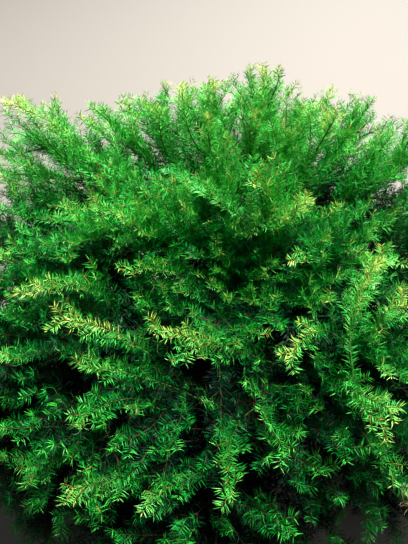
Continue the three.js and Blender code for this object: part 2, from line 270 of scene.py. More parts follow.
def mesh_piece(name, points, faces, materials, tones=None, smooth=False):
    """A piece from arrays of points and triangles, with a material for each triangle."""
    data = bpy.data.meshes.new(name)
    data.from_pydata(points, [], faces)
    for made in materials:
        data.materials.append(made)
    if tones is not None:
        data.polygons.foreach_set("material_index", np.asarray(tones, np.int32))
    data.validate()
    if smooth:
        data.shade_smooth()
    return add_object(name, data)


def rotated(points, angle, first, second):
    """Groups of points, each turned by its own angle in the plane of two axes."""
    made = points.copy()
    cosine, sine = np.cos(angle)[:, None], np.sin(angle)[:, None]
    made[..., first] = points[..., first] * cosine - points[..., second] * sine
    made[..., second] = points[..., first] * sine + points[..., second] * cosine
    return made


def bark_chips(count, rng):
    """Loose flat pieces of bark, each a slab of eight uneven corners, laid on the mix."""
    corners = np.array([(x, y, z) for z in (-1, 1) for y in (-1, 1) for x in (-1, 1)], float)
    sides = np.array([
        (0, 2, 3), (0, 3, 1), (4, 5, 7), (4, 7, 6), (0, 1, 5), (0, 5, 4),
        (2, 6, 7), (2, 7, 3), (0, 4, 6), (0, 6, 2), (1, 3, 7), (1, 7, 5),
    ])
    turn = rng.uniform(0, 2 * pi, count)
    tilt = rng.normal(0, CHIP_TILT, count)
    long = rng.uniform(*CHIP_LONG, count)
    wide = long * rng.uniform(*CHIP_WIDE, count)
    thick = long * rng.uniform(*CHIP_THICK, count)
    size = np.stack((long, wide, thick), 1) / 2
    shape = corners * (1 + rng.uniform(*CHIP_UNEVEN, (count, 8, 3))) * size[:, None]
    angle = rng.uniform(0, 2 * pi, count)
    to_clay = pot_slope(mix_edge) - POT_WALL - CHIP_LONG[1] / 2 - CHIPS_FROM_CLAY
    spread = np.sqrt(rng.uniform(CHIPS_FROM_STEM ** 2, to_clay ** 2, count))
    rise = mix_edge + MIX_DIP * np.sin((1 - spread / to_clay) * pi / 2) + size[:, 2] * CHIP_RISE
    seat = np.stack((spread * np.cos(angle), spread * np.sin(angle), rise), 1)
    points = rotated(rotated(shape, tilt, 0, 2), turn, 0, 1) + seat[:, None]
    faces = (sides + 8 * np.arange(count)[:, None, None]).reshape(-1, 3)
    return points.reshape(-1, 3), faces


chips_rng = np.random.default_rng(31)
chip_points, chip_faces = bark_chips(CHIPS, chips_rng)
chips = mesh_piece("bark_chips", chip_points, chip_faces, [
    crumbly("bark_chip", (58, 38, 26), (122, 84, 58), 120, 0.85)])
mix.data.materials.append(crumbly("peat_mix", (26, 18, 13), (70, 50, 35), 190, 0.95))
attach(mix, "root")
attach(chips, "root")
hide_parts("potting_mix")

# Stem: the short trunk inside the crown, red-brown yew bark in thin flaky plates with fine cracks. It
# widens into four root shoulders where it enters the mix, and leans a little towards the back.
STEM_HEIGHT = 0.150
STEM_FOOT_RADIUS = 0.027
STEM_TOP_RADIUS = 0.019
STEM_LEAN_BACK = 0.007
FLARE = 0.55
FLARE_HEIGHT = 0.026
FLARE_LOBES = 4
FLARE_LOBE_DEPTH = 0.16
STEM_SIDES = 120
STEM_CUTS = 95
STEM_RELIEF = 0.0022
PLATE_SCALE = (95, 95, 34)
CRACK_SCALE = (210, 210, 70)

stem_foot = np.array((0.0, 0.0, MIX_TOP + SEAT))
stem_top = stem_foot + (0, STEM_LEAN_BACK, STEM_HEIGHT)


def bark_relief(place, size):
    """How far bark stands out at a point: plates longer than wide, with fine cracks between them."""
    plates = noise.noise(Vector([at * scale for at, scale in zip(place, PLATE_SCALE)]))
    cracks = abs(noise.noise(Vector([at * scale for at, scale in zip(place, CRACK_SCALE)])))
    return size * (0.55 * plates + 0.6 * cracks - 0.2)


bpy.ops.mesh.primitive_cylinder_add(
    vertices=STEM_SIDES, radius=STEM_FOOT_RADIUS, depth=STEM_HEIGHT,
    location=(0, 0, stem_foot[2] + STEM_HEIGHT / 2))
stem = bpy.context.object
stem.name = "stem_bark"
bpy.ops.object.transform_apply(location=True)
bpy.ops.object.mode_set(mode="EDIT")
bpy.ops.mesh.select_mode(type="EDGE")
bpy.ops.mesh.select_all(action="DESELECT")
bpy.ops.object.mode_set(mode="OBJECT")
for edge in stem.data.edges:
    low, high = (stem.data.vertices[corner].co for corner in edge.vertices)
    edge.select = abs(low.z - high.z) > STEM_HEIGHT / 2
bpy.ops.object.mode_set(mode="EDIT")
bpy.ops.mesh.subdivide(number_cuts=STEM_CUTS)
bpy.ops.object.mode_set(mode="OBJECT")
for vertex in stem.data.vertices:
    share = (vertex.co.z - stem_foot[2]) / STEM_HEIGHT
    angle = atan2(vertex.co.y, vertex.co.x)
    flare = FLARE * max(0, 1 - share * STEM_HEIGHT / FLARE_HEIGHT) ** 2
    lobes = 1 + FLARE_LOBE_DEPTH * cos(FLARE_LOBES * angle)
    radius = (STEM_FOOT_RADIUS + (STEM_TOP_RADIUS - STEM_FOOT_RADIUS) * share) * (1 + flare * lobes)
    radius += bark_relief(vertex.co, STEM_RELIEF) if 0 < share < 1 else 0
    vertex.co.x = radius * cos(angle)
    vertex.co.y = radius * sin(angle) + STEM_LEAN_BACK * share
bpy.ops.object.shade_smooth_by_angle(angle=radians(60))


def bark():
    """Yew bark: grey-brown plates that lift off a red-brown skin, dull, with long fine cracks."""
    made, shader, add, join = new_material("yew_bark", 0.88)
    place = add("TexCoord").outputs["Object"]
    stretched = add("Mapping", [(place, "Vector")], Scale=(1, 1, 0.35))
    plates = add("TexNoise", [(stretched.outputs[0], "Vector")], Scale=80, Detail=7)
    cracks = add("TexVoronoi", [(stretched.outputs[0], "Vector")], Scale=170, feature="DISTANCE_TO_EDGE")
    tones = ramp(add, plates.outputs["Fac"], (
        (0.34, (74, 44, 30)), (0.48, (118, 70, 46)), (0.58, (136, 98, 74)), (0.72, (150, 124, 102)),
    ))
    crack = add("MapRange", [(cracks.outputs["Distance"], "Value")], **{"From Max": 0.05})
    lines = add("MixRGB", [(crack.outputs["Result"], "Fac"), (tones, "Color2")], Color1=linear(64, 40, 29))
    join(lines.outputs[0], shader.inputs["Base Color"])
    relief = add("Bump", [(plates.outputs["Fac"], "Height")], Strength=0.6, Distance=0.002)
    edges = add("Bump", [(crack.outputs["Result"], "Height"), (relief.outputs[0], "Normal")],
                Strength=0.4, Distance=0.001)
    join(edges.outputs[0], shader.inputs["Normal"])
    return made


yew_bark = bark()
stem.data.materials.append(yew_bark)
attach(stem, "root")
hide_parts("stem")

# Boughs: the bare lower lengths of the limbs, each one tapering piece of the same bark. They leave the
# stem in rings, one above the other, arch outwards, and each runs on as the stem of a mass of foliage.
# A ring has its name, count, first azimuth, reach, how much wider it is from side to side, shift to the
# back, tip height, rise to the back, arch, the share of the stem's height where it leaves, the share of
# a limb that is bare, and its side sprays.
RINGS = (
    ("skirt", 6, 272, 0.490, 1.10, -0.030, 0.140, 0.015, 0.180, 0.22, 0.42, 6),
    ("side", 7, 264, 0.545, 1.08, 0, 0.325, 0.045, 0.095, 0.37, 0.34, 6),
    ("shoulder", 6, 235, 0.535, 1.06, 0.020, 0.540, 0.115, 0.060, 0.53, 0.32, 6),
    ("leader_left", 1, 151, 0.595, 1, 0, 0.715, 0, 0.010, 0.68, 0.36, 7),
    ("leader_back", 1, 80, 0.390, 1, 0, 0.765, 0, 0.010, 0.68, 0.36, 6),
    ("leader_right", 1, 30, 0.530, 1, 0, 0.700, 0, 0.010, 0.68, 0.36, 6),
    ("upper", 5, 330, 0.290, 1, 0.090, 0.635, 0.115, 0.030, 0.84, 0.30, 6),
    ("heart", 3, 20, 0.150, 1, 0.030, 0.560, 0.050, 0, 1, 0, 5),
)
HEART_SEAT_RADIUS = 0.009
LONG_SIDE = radians(220)
LONG_SIDE_SHARE = 0.15
NUMBERS_A_RING = 16
BOUGH_ROOT_RADIUS = 0.0082
BOUGH_TIP_RADIUS = 0.0050
BOUGH_SIDES = 14
BOUGH_STEPS = 26
BOUGH_RELIEF = 0.0016
UP = np.array((0.0, 0.0, 1.0))


def point_on(curve, share):
    """Points of quadratic curves, three control points each, at one or more shares of their parameter."""
    t = np.asarray(share, float)[..., None]
    return (1 - t) ** 2 * curve[..., 0, :] + 2 * t * (1 - t) * curve[..., 1, :] + t * t * curve[..., 2, :]


def unit(vector):
    """Vectors scaled to length 1."""
    return vector / np.maximum(norm(vector, axis=-1, keepdims=True), 1e-9)


def direction_on(curve, share):
    """Directions of quadratic curves at shares of their parameter."""
    t = np.asarray(share, float)[..., None]
    return unit((1 - t) * (curve[..., 1, :] - curve[..., 0, :]) + t * (curve[..., 2, :] - curve[..., 1, :]))


def stretch(curve, start, end):
    """The stretch of one quadratic curve between two shares, as a curve of its own."""
    def between(a, b):
        near = curve[0] + (curve[1] - curve[0]) * a
        far = curve[1] + (curve[2] - curve[1]) * a
        return near + (far - near) * b

    return np.array((between(start, start), between(start, end), between(end, end)))


def length_of(curve):
    """Length of one quadratic curve."""
    points = point_on(curve, np.linspace(0, 1, 201))
    return norm(np.diff(points, axis=0), axis=1).sum()


def across(direction, wanted):
    """Two directions across a given one: the second is as near to the wanted one as it can be."""
    second = unit(wanted - (wanted * direction).sum(-1, keepdims=True) * direction)
    return np.cross(second, direction), second


def limb_of(ring_number, k):
    """One limb from inside the stem to the tip of its mass: its name, bough and foliage stem."""
    name, count, first, reach, wide, back, height, rise, arch, leaves, bare, sprays = RINGS[ring_number]
    azimuth = radians(first + 360 / count * k)
    outward = np.array((cos(azimuth), sin(azimuth), 0))
    start = stem_foot + (stem_top - stem_foot) * leaves
    upright = bare == 0
    if upright:
        start = start + outward * HEART_SEAT_RADIUS + (0, 0, SEAT)
    reach *= 1 + LONG_SIDE_SHARE * max(0, cos(azimuth - LONG_SIDE)) ** 2
    tip = outward * reach * (wide, 1, 1) + (0, back, 0)
    tip[2] = height + rise * sin(azimuth)
    via = (start + tip) / 2 + (0, 0, arch)
    if upright:
        via = start + UP * (tip[2] - start[2]) / 2
    whole = np.array((start, via, tip))
    length = length_of(whole) * (1 - bare)
    root = 0 if upright else bare + SEAT / length * (1 - bare)
    return {
        "name": f"{name}_{k + 1}" if count > 1 else name,
        "ring": name.split("_")[0],
        "number": ring_number * NUMBERS_A_RING + k,
        "bough": None if upright else stretch(whole, 0, bare),
        "stem": stretch(whole, root, 1),
        "length": length,
        "sprays": sprays,
        "upright": upright,
    }


limbs = [limb_of(ring_number, k) for ring_number, ring in enumerate(RINGS) for k in range(ring[1])]


def tubes(curves, facing, root, tip, sides, steps, relief=0, pointed=False):
    """Closed tapering tubes along curves: their points, and triangles that face outwards."""
    share = np.linspace(0, 1, steps + 1)
    centre = point_on(curves[:, None], share)
    along = direction_on(curves[:, None], share)
    first, second = across(along, np.broadcast_to(facing[:, None], along.shape))
    angle = 2 * pi * np.arange(sides) / sides
    spoke = first[:, :, None] * np.cos(angle)[:, None] + second[:, :, None] * np.sin(angle)[:, None]
    radius = root[:, None] + (tip - root)[:, None] * share
    shell = centre[:, :, None] + spoke * radius[:, :, None, None]
    if relief:
        flat = shell.reshape(-1, 3)
        out = np.array([bark_relief(place, relief) for place in flat]).reshape(shell.shape[:3])
        shell = shell + spoke * out[..., None]
    count = len(curves)
    if pointed:
        shell = shell[:, :-1]
        steps -= 1
    points = np.concatenate((shell.reshape(count, -1, 3), centre[:, :1], centre[:, -1:]), axis=1)
    near = np.arange(sides)
    far = (near + 1) % sides
    faces = []
    for step in range(steps):
        low, high = step * sides, (step + 1) * sides
        faces.append(np.stack((low + near, low + far, high + far), 1))
        faces.append(np.stack((low + near, high + far, high + near), 1))
    root_cap, tip_cap = (steps + 1) * sides, (steps + 1) * sides + 1
    faces.append(np.stack((near * 0 + root_cap, far, near), 1))
    faces.append(np.stack((near * 0 + tip_cap, steps * sides + near, steps * sides + far), 1))
    pattern = np.concatenate(faces)
    joined = pattern[None] + (points.shape[1] * np.arange(count))[:, None, None]
    return points.reshape(-1, 3), joined.reshape(-1, 3)


bough_limbs = [limb for limb in limbs if limb["bough"] is not None]
bough_curves = np.array([limb["bough"] for limb in bough_limbs])
count = len(bough_curves)
bough_points, bough_faces = tubes(
    bough_curves, np.tile(UP, (count, 1)), np.full(count, BOUGH_ROOT_RADIUS),
    np.full(count, BOUGH_TIP_RADIUS), BOUGH_SIDES, BOUGH_STEPS, relief=BOUGH_RELIEF)
boughs = mesh_piece("bough_bark", bough_points, bough_faces, [yew_bark], smooth=True)
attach(boughs, "root")
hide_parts(*(f"bough_{limb['name']}" for limb in bough_limbs))

# Twigs: every mass grows from one stem that carries a bough on, with side branches and long plumes by a
# seeded rule and fine shoots on all of them, left and right by turns. Old wood is brown, a year's shoot is
# green and the newest straw yellow; low and deep in the crown the wood is also darker as painted shade, and
# high up lighter as painted light. All of it is one with the boughs, and a mass keeps near its own space.
CROWN_CENTRE = np.array((0, 0, 0.330))
SPACE_MARGIN = 0.005
LIMB_MARGIN = 0.004
POT_MARGIN = 0.006
GROUND_MARGIN = 0.024
TIP_MARGIN = 0.022
CROWN_BLEND = 14
TIP_BLEND = 40
SOLID_BOUGH_RADIUS = 0.008
STRAY = 0.060
POINTS_AT_ONCE = 3000
LIMB_SHARES = np.linspace(0, 1, 9)

stem_lines = np.array([point_on(limb["stem"], LIMB_SHARES) for limb in limbs])
bough_lines = np.array([point_on(curve, LIMB_SHARES) for curve in bough_curves])
tips = np.array([limb["stem"][2] for limb in limbs]) - CROWN_CENTRE
tip_reach = norm(tips, axis=1)


def distance_to_lines(points, lines):
    """The least distance from each point to each line of samples."""
    start = lines[:, :-1]
    leg = lines[:, 1:] - start
    offset = points[:, None, None] - start
    t = np.clip((offset * leg).sum(-1) / (leg * leg).sum(-1), 0, 1)
    return norm(offset - t[..., None] * leg, axis=-1).min(-1)


def crown_reach(points, mass):
    """How far the crown reaches from its centre in each point's direction: a blend of the tips of all
    masses, drawn out to a mass's own tip near it."""
    likeness = unit(points - CROWN_CENTRE) @ unit(tips).T - 1
    weight = np.exp(CROWN_BLEND * likeness)
    blend = weight @ tip_reach / weight.sum(1)
    own = np.exp(TIP_BLEND * likeness[np.arange(len(points)), mass])
    return blend + (tip_reach[mass] - blend) * own


def out_share(points, mass):
    """How far out from the crown's centre points lie, as a share of its reach there."""
    return norm(points - CROWN_CENTRE, axis=1) / crown_reach(points, mass)


def clear_of_pot(points):
    """True where a point is clear of the pot, the space over its mix and the ground."""
    over_pot = np.hypot(points[:, 0], points[:, 1]) < POT_RIM_RADIUS + POT_MARGIN
    in_pot = over_pot & (points[:, 2] < POT_HEIGHT + POT_MARGIN)
    return ~in_pot & (points[:, 2] >= GROUND_MARGIN)


def keeps_to_space(points, mass, stray=0.0):
    """True where a point is clear of stem, boughs, pot and ground, no further out than its mass's tip,
    and nearer to its own mass's stem than to any other. A fine shoot may stray a little way over."""
    if len(points) > POINTS_AT_ONCE:
        half = len(points) // 2
        return np.concatenate((keeps_to_space(points[:half], mass[:half], stray),
                               keeps_to_space(points[half:], mass[half:], stray)))
    trunk = np.array((stem_foot, stem_top))[None]
    clear = clear_of_pot(points)
    clear &= distance_to_lines(points, trunk)[:, 0] >= STEM_FOOT_RADIUS + LIMB_MARGIN
    clear &= norm(points - CROWN_CENTRE, axis=1) <= crown_reach(points, mass) + TIP_MARGIN
    clear &= distance_to_lines(points, bough_lines).min(1) >= SOLID_BOUGH_RADIUS + LIMB_MARGIN
    distance = distance_to_lines(points, stem_lines)
    row = np.arange(len(points))
    own = distance[row, mass].copy()
    distance[row, mass] = np.inf
    return clear & (distance.min(1) > own + 2 * SPACE_MARGIN - stray)


SEED = 20417
SEED_STEP = 7919
FIRST_STATION, LAST_STATION = 0.07, 0.86
SPRAY_ANGLE, SPRAY_ANGLE_SPREAD = 50, 9
SPRAY_SHARE_ROOT, SPRAY_SHARE_TIP = 0.66, 0.36
ROLLS = (0, 50, -35)
ROLL_SPREAD = 14
SPRAY_SWEEP = 0.18
SHORTER = (1, 0.85, 0.7, 0.56, 0.44)
TURNS = (0, 30, -30)
MOST_BARE = 0.34
TEST_STEP = 0.009
SOLID_NEEDLE = 0.050
SOLID_NEEDLE_TIP = 0.72
SOLID_FORWARD = 52
ROOT_SHARE, LAST_NEEDLE = 0.1, 0.94
SPRAY_STEPS = 4
SPRAY_SHARES = ROOT_SHARE + (LAST_NEEDLE - ROOT_SHARE) * np.arange(SPRAY_STEPS + 1) / SPRAY_STEPS
NEEDLE_ROWS = (radians(30), radians(150))
STEM_RADII = (0.0046, 0.0012)
BRANCH_RADII = (0.0028, 0.0010)
VIGOUR_SEED, VIGOUR_STEP = 5, 977


def random_from(seed):
    """Random numbers in 0 to 1 from one seed, by the same rule as the solids."""
    state = seed & 0xFFFFFFFF
    while True:
        state = (state * 1664525 + 1013904223) & 0xFFFFFFFF
        yield state / 4294967296


def curved_side(start, heading, parent, length):
    """A side branch's curve: it leaves at its heading and sweeps back a little towards the parent's."""
    end = start + heading * length * (1 - SPRAY_SWEEP) + parent * length * SPRAY_SWEEP
    return np.stack((start, start + heading * length / 2, end), axis=-2)


def outward_facing(points):
    """The upper side of a spray: half up, half out of the crown."""
    return unit(unit(points - CROWN_CENTRE) + UP)


def branch_fits(curve, mass):
    """True where a side branch and most of the coarse needles of its solid keep to the mass's space."""
    share = np.concatenate(((0,), SPRAY_SHARES))
    core = np.concatenate((point_on(curve, share), point_on(curve, (share + 1) / 2)))
    if not keeps_to_space(core, np.full(len(core), mass)).all():
        return False
    facing = outward_facing(point_on(curve, 0.5))
    tests, owner = [], []
    forward = radians(SOLID_FORWARD)
    for number, t in enumerate(share[2:]):
        root, along = point_on(curve, t), direction_on(curve, t)
        first, second = across(along, facing)
        length = SOLID_NEEDLE * (1 + (SOLID_NEEDLE_TIP - 1) * t)
        for row, middle in enumerate(NEEDLE_ROWS):
            flat = first * cos(middle) + second * sin(middle)
            heading = along * sin(forward) + flat * cos(forward)
            steps = [TEST_STEP * k for k in range(1, ceil(length / TEST_STEP))] + [length]
            tests += [root + heading * far for far in steps]
            owner += [2 * number + row] * len(steps)
    fits = keeps_to_space(np.array(tests), np.full(len(tests), mass))
    skipped = len(set(np.array(owner)[~fits]))
    return skipped / (2 * SPRAY_STEPS) <= MOST_BARE


TWIG = np.dtype([
    ("curve", float, (3, 3)), ("facing", float, 3), ("mass", int), ("length", float), ("root", float),
    ("tip", float), ("order", int), ("vigour", float),
])


def twig_row(curve, middle, mass, radii, order, vigour):
    """One twig as a row of the table that all twigs are kept in."""
    return np.array((curve, outward_facing(middle), mass, length_of(curve), *radii, order, vigour), TWIG)


def branches_of(mass, limb):
    """A mass's own stem and its side branches, by the rule and the random draws of its solid."""
    draw = random_from(SEED + limb["number"] * SEED_STEP)
    fan = np.array((0.0, 1.0, 0.0)) if limb["upright"] else UP
    vigour = next(random_from(limb["number"] * VIGOUR_STEP + VIGOUR_SEED))
    rows = [twig_row(limb["stem"], point_on(limb["stem"], 0.5), mass, STEM_RADII, 0, vigour)]
    for k in range(limb["sprays"]):
        t = FIRST_STATION + (LAST_STATION - FIRST_STATION) * k / (limb["sprays"] - 1)
        root, parent = point_on(limb["stem"], t), direction_on(limb["stem"], t)
        first, second = across(parent, fan)
        side = 1 if k % 2 else -1
        roll = ROLLS[k % len(ROLLS)] + (next(draw) * 2 - 1) * ROLL_SPREAD
        lean = radians(SPRAY_ANGLE + (next(draw) * 2 - 1) * SPRAY_ANGLE_SPREAD)
        full = limb["length"] * (SPRAY_SHARE_ROOT + (SPRAY_SHARE_TIP - SPRAY_SHARE_ROOT) * t)
        for share, turn in ((share, turn) for share in SHORTER for turn in TURNS):
            turned = radians(roll + turn)
            heading = (parent * cos(lean) + first * side * cos(turned) * sin(lean)
                       + second * sin(turned) * sin(lean))
            curve = curved_side(root, heading, parent, full * share)
            if branch_fits(curve, mass):
                own_vigour = (vigour + 2 * turned % 1) / 2
                rows.append(twig_row(curve, point_on(curve, 0.5), mass, BRANCH_RADII, 1, own_vigour))
                break
    return rows


branches = np.array([row for mass, limb in enumerate(limbs) for row in branches_of(mass, limb)], TWIG)

SHOOT_TIP_RADIUS = 0.0006
SHOOT_LEAN_SPREAD = 6
SHOOT_ROLL, SHOOT_ROLL_SPREAD = 6, 18
UPPER_ROLL = (40, 100)
SHOOT_SPREAD = (0.78, 1.12)
SHOOT_SHORTER = (1, 0.74, 0.52)
SHOOT_TESTS = (0.55, 1)
SHOOT_RISE = 0.06
VIGOUR_KEPT, VIGOUR_SPREAD, VIGOUR_TO_TIP, VIGOUR_MIDDLE = 0.65, 0.1, 0.85, 0.6


def stations(parents, bare, gap, fewest, spread, rng):
    """Places along twigs, a gap apart beyond each twig's bare share: whose each is, its number and share
    there, its point, the direction along the twig, two across, and 1 or -1 by turns for its side."""
    count = np.maximum(fewest, np.round(parents["length"] * (1 - bare) / gap)).astype(int)
    owner = np.repeat(np.arange(len(parents)), count)
    turn = np.arange(len(owner)) - np.repeat(np.cumsum(count) - count, count)
    bare = np.broadcast_to(bare, len(parents))[owner]
    share = bare + (1 - bare) * (turn + rng.uniform(*spread, len(owner))) / count[owner]
    curve = parents["curve"][owner]
    along = direction_on(curve, share)
    side, up = across(along, parents["facing"][owner])
    return owner, turn, share, point_on(curve, share), along, side, up, np.where(turn % 2, 1, -1)[:, None]


def shoots_on(parents, gap, bare, longest, shortest, lean, root_radius, seed):
    """Shoots that leave their parents left and right by turns, every third one upwards, shorter towards
    each parent's tip. One that would leave its mass's space is made shorter, and then left out."""
    rng = np.random.default_rng(seed)
    owner, turn, share, root, along, side, up, hand = stations(parents, bare, gap, 2, (0.15, 0.85), rng)
    parent = parents[owner]
    total = len(owner)
    angle = np.radians(lean + rng.normal(0, SHOOT_LEAN_SPREAD, total))
    upper = rng.uniform(*UPPER_ROLL, total)
    roll = np.radians(np.where(turn % 3 == 2, upper, rng.normal(SHOOT_ROLL, SHOOT_ROLL_SPREAD, total)))
    heading = (along * np.cos(angle)[:, None] + side * hand * (np.cos(roll) * np.sin(angle))[:, None]
               + up * (np.sin(roll) * np.sin(angle))[:, None])
    full = (longest + (shortest - longest) * share) * rng.uniform(*SHOOT_SPREAD, total)
    made = np.zeros(total, TWIG)
    made["mass"] = parent["mass"]
    made["order"] = 2
    near = parent["vigour"] * VIGOUR_KEPT + rng.uniform(-VIGOUR_SPREAD, VIGOUR_SPREAD, total)
    made["vigour"] = near + VIGOUR_TO_TIP * (share - VIGOUR_MIDDLE)
    made["root"], made["tip"] = root_radius, SHOOT_TIP_RADIUS
    waiting = np.ones(total, bool)
    for shorter in SHOOT_SHORTER:
        rows = np.flatnonzero(waiting)
        length = full[rows] * shorter
        curve = curved_side(root[rows], heading[rows], along[rows], length[:, None])
        curve[:, 2, 2] += length * SHOOT_RISE
        fits = np.ones(len(rows), bool)
        for reach in SHOOT_TESTS:
            fits &= keeps_to_space(point_on(curve, reach), made["mass"][rows], STRAY)
        kept = rows[fits]
        made["curve"][kept] = curve[fits]
        made["length"][kept] = length[fits]
        waiting[kept] = False
    made = made[~waiting]
    made["facing"] = outward_facing(point_on(made["curve"], 0.5))
    return made


# Long plumes: two thirds of them stand out in the photo, and the others close the crown between those.
# A row says where a plume comes out of the shade and where it ends, in millimetres, and how fresh its
# growth is, in thousandths. It grows on from the branch that is nearest behind it.
BEHIND, BELOW = 0.5, 0.02
LONG_RADII = (0.0024, 0.0009)
ANCHOR_SHARES = np.linspace(0.02, 0.92, 11)
LONG_PLUMES = np.array((
    (-363, 198, 700, -530, 281, 749, 900), (-241, 123, 639, -324, 158, 673, 900),
    (-12, 6, 638, -158, 202, 616, 1000), (-4, -15, 607, 131, 18, 659, 1000),
    (179, 167, 647, 293, 193, 690, 950), (180, -281, 554, 287, -43, 563, 1100),
    (228, -240, 551, 291, -189, 569, 950), (-279, -161, 574, -396, -213, 613, 900),
    (-181, -274, 507, -346, -259, 595, 900), (-134, -311, 472, -290, -344, 565, 750),
    (7, -235, 479, -178, -224, 540, 950), (-27, -209, 479, -45, -143, 505, 950),
    (137, -236, 547, 69, -303, 530, 950), (-125, -86, 551, -233, -139, 606, 600),
    (-227, -368, 508, -288, -443, 532, 700), (-175, -455, 412, -303, -513, 449, 1100),
    (-307, -420, 435, -381, -472, 443, 900), (-79, -454, 425, -174, -517, 441, 800),
    (-17, -373, 459, -36, -525, 447, 800), (21, -388, 463, 52, -466, 487, 600),
    (147, -350, 526, 232, -423, 544, 900), (171, -373, 513, 216, -444, 528, 900),
    (170, -429, 389, 213, -506, 328, 600), (-45, -493, 380, 62, -553, 405, 600),
    (48, 264, 733, 51, 352, 793, 900), (-117, 248, 702, -129, 330, 769, 800),
    (-63, 260, 710, -61, 331, 773, 800), (210, 350, 647, 222, 423, 713, 800),
    (272, 358, 643, 285, 402, 700, 800), (-403, 106, 572, -516, 118, 640, 800),
    (88, -138, 533, 157, -192, 587, 800), (-374, -40, 581, -455, -18, 610, 600),
    (85, 16, 628, 20, 25, 707, 800), (176, -24, 594, 105, -108, 605, 500),
    (-283, 57, 573, -392, 92, 601, 700), (-379, -280, 527, -435, -322, 564, 700),
    (-51, -295, 462, -54, -428, 475, 0), (25, -309, 478, 34, -420, 498, 0),
    (-125, -324, 469, -135, -434, 483, 0), (118, -409, 477, 159, -471, 507, 100),
    (-226, -451, 421, -270, -534, 402, 300), (-141, -481, 360, -104, -564, 393, 200),
    (-335, -189, 549, -429, -210, 598, 300), (-331, -144, 564, -410, -184, 610, 300),
    (-347, -223, 535, -435, -244, 585, 300), (-376, 91, 556, -488, 92, 624, 500),
    (-398, 113, 587, -511, 138, 645, 500), (-391, 129, 620, -479, 154, 675, 600),
    (-329, 153, 664, -411, 186, 735, 800), (-266, 180, 660, -341, 211, 736, 700),
    (-352, -61, 567, -459, -87, 618, 400), (219, 117, 584, 323, 97, 666, 500),
    (231, 142, 607, 307, 138, 673, 600), (217, 269, 593, 245, 220, 707, 700),
    (-359, -369, 299, -442, -441, 312, 200), (-359, -353, 169, -441, -429, 177, 200),
    (90, -427, 385, 106, -519, 401, 100), (-188, -113, 550, -167, -98, 596, 300),
    (-207, 248, 606, -250, 328, 685, 700), (-174, 297, 617, -181, 287, 721, 700),
    (-300, -120, 516, -387, -193, 582, 100), (-315, -77, 522, -403, -139, 590, 100),
    (-359, -78, 490, -443, -156, 570, 100), (-319, -136, 504, -393, -215, 573, 100),
    (-360, 150, 574, -461, 118, 606, 300), (-375, 144, 538, -469, 54, 614, 200),
    (252, 197, 598, 333, 98, 660, 300), (-26, -17, 531, -109, -63, 584, 100),
)) / 1000


def anchors_of(branches):
    """Points along all branches that a plume may grow from, and the branches' directions there."""
    curve = branches["curve"][:, None]
    return point_on(curve, ANCHOR_SHARES).reshape(-1, 3), direction_on(curve, ANCHOR_SHARES).reshape(-1, 3)


def long_plumes(branches):
    """A twig through each pair of places in the table, from the nearest point behind them."""
    anchor = anchors_of(branches)[0]
    rows = []
    for passes, end, vigour in zip(LONG_PLUMES[:, :3], LONG_PLUMES[:, 3:6], LONG_PLUMES[:, 6]):
        behind = passes - (end - passes) * BEHIND - UP * BELOW
        start = anchor[norm(anchor - behind, axis=1).argmin()]
        near, far = norm(passes - start), norm(end - passes)
        t = near / (near + far)
        control = (passes - (1 - t) ** 2 * start - t * t * end) / (2 * t * (1 - t))
        mass = distance_to_lines(end[None], stem_lines).argmin()
        curve = np.array((start, control, end))
        rows.append(twig_row(curve, (passes + end) / 2, mass, LONG_RADII, 1, vigour))
    return np.array(rows, TWIG)


# The crown's light is caught at its outside, so plumes grow out to every place there that no twig comes
# near yet, layer by layer from the outside in. A layer has its share of the crown's reach, how many places
# are tried, and the room that a place needs.
SUNLIT = ((0.99, 1800, 0.033), (0.88, 1400, 0.037))
SHADED = ((0.78, 2300, 0.030), (0.64, 1700, 0.032), (0.48, 900, 0.038), (0.34, 500, 0.040))
LOWEST_LIGHT = -0.70
THIN_BELOW = -0.12
THIN_SHARE = 0.50
NOTCH = radians(293)
NOTCH_HALF = radians(9)
GOLDEN_TURN = pi * (3 - sqrt(5))
DIRECTION_SPREAD = 0.03
REACH_SPREAD = (0.95, 1.03)
PLUME_LONG = 0.18
PLUME_UPWARDS = 0.3
PLUME_EASE = 0.42
PLUME_RADIUS, RADIUS_BY_LENGTH, PLUME_TIP_RADIUS = 0.0012, 0.007, 0.0009
PLUME_VIGOUR, PLUME_VIGOUR_POWER = 0.75, 1.3
LENGTH_WEIGHT, TURN_WEIGHT, ASTRAY_WEIGHT = 1.5, 0.20, 0.30
ROOM_SHARES = np.array((0.45, 0.7, 1.0))


def places_in_light(share, count, rng):
    """Places spread evenly over the crown's outside, fewer low down and none in a notch at the front
    right, at a share of its reach."""
    k = np.arange(count)
    rise = 1 - (1 - LOWEST_LIGHT) * (k + 0.5) / count
    turn = k * GOLDEN_TURN % (2 * pi)
    flat = np.sqrt(1 - rise ** 2)
    notched = (np.abs(turn - NOTCH) < NOTCH_HALF) & (rise < 0)
    thinned = (rise < THIN_BELOW) & (rng.uniform(size=count) < THIN_SHARE)
    even = np.stack((flat * np.cos(turn), flat * np.sin(turn), rise), 1)
    direction = unit(even + rng.normal(0, DIRECTION_SPREAD, (count, 3)))[~notched & ~thinned]
    nearest = (direction @ unit(tips).T).argmax(1)
    reach = crown_reach(CROWN_CENTRE + direction, nearest) * share
    places = CROWN_CENTRE + direction * (reach * rng.uniform(*REACH_SPREAD, len(direction)))[:, None]
    mass = distance_to_lines(places, stem_lines).argmin(1)
    fits = keeps_to_space(places, mass, STRAY)
    return places[fits], mass[fits]


